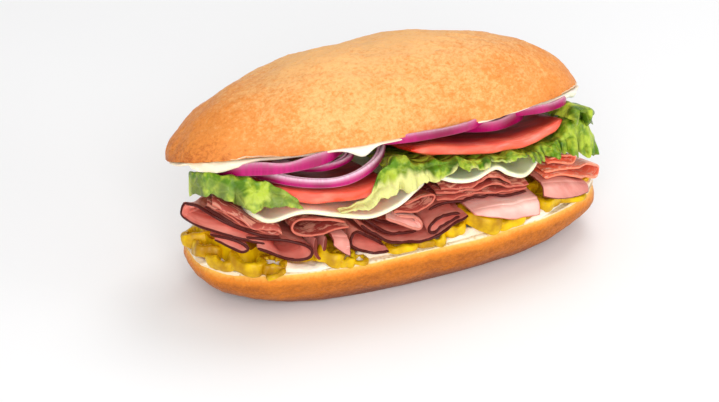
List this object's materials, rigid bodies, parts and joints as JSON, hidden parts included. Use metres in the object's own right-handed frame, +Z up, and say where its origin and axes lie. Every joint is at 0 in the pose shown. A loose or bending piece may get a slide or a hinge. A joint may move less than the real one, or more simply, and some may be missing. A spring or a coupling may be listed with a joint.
{
  "type": "italian sandwich",
  "caption": "An italian sandwich on a long roll: folded capicola, ham and salami, provolone, lettuce, tomato, red onion, pickled banana pepper rings and mayonnaise.",
  "frame": {"origin": "middle of the flat underside of the lower half of the roll", "axes": "+X along the roll, -Y the open front where the fillings show, +Z up"},
  "size_m": [0.2144, 0.0998, 0.1102],
  "materials": {
    "bun_crust": "baked golden crust, satin, with a fine grain",
    "mayonnaise": "off-white spread, soft gloss",
    "banana_pepper": "pickled pepper, wet and a little translucent",
    "capicola": "cured meat, mauve inside with a dark spiced rim, damp",
    "ham": "cooked ham, pale pink, damp",
    "salami": "cured sausage, red with white fat, damp",
    "provolone": "cream cheese colour, smooth satin",
    "lettuce": "crisp leaf, wet gloss, pale ribs",
    "tomato": "cut flesh, wet, with a red skin",
    "red_onion": "magenta skin, white cut rings, wet"
  },
  "bodies": {
    "root": {"bun_heel": "bun_crust", "bun_crown": "bun_crust", "mayo_heel": "mayonnaise", "mayo_crown": "mayonnaise", "pepper_rings": "banana_pepper", "capicola_1": "capicola", "capicola_2": "capicola", "capicola_3": "capicola", "capicola_4": "capicola", "capicola_5": "capicola", "capicola_6": "capicola", "capicola_7": "capicola", "capicola_8": "capicola", "capicola_9": "capicola", "capicola_10": "capicola", "ham_1": "ham", "ham_2": "ham", "ham_3": "ham", "ham_4": "ham", "ham_5": "ham", "salami_1": "salami", "salami_2": "salami", "salami_3": "salami", "salami_4": "salami", "salami_5": "salami", "salami_6": "salami", "salami_7": "salami", "salami_8": "salami", "salami_9": "salami", "provolone_1": "provolone", "provolone_2": "provolone", "tomato_1": "tomato", "tomato_2": "tomato", "onion_1": "red_onion", "onion_2": "red_onion", "onion_3": "red_onion", "onion_4": "red_onion", "onion_5": "red_onion", "onion_6": "red_onion", "lettuce_1": "lettuce", "lettuce_2": "lettuce", "lettuce_3": "lettuce", "lettuce_4": "lettuce", "lettuce_5": "lettuce"}
  },
  "joints": []
}
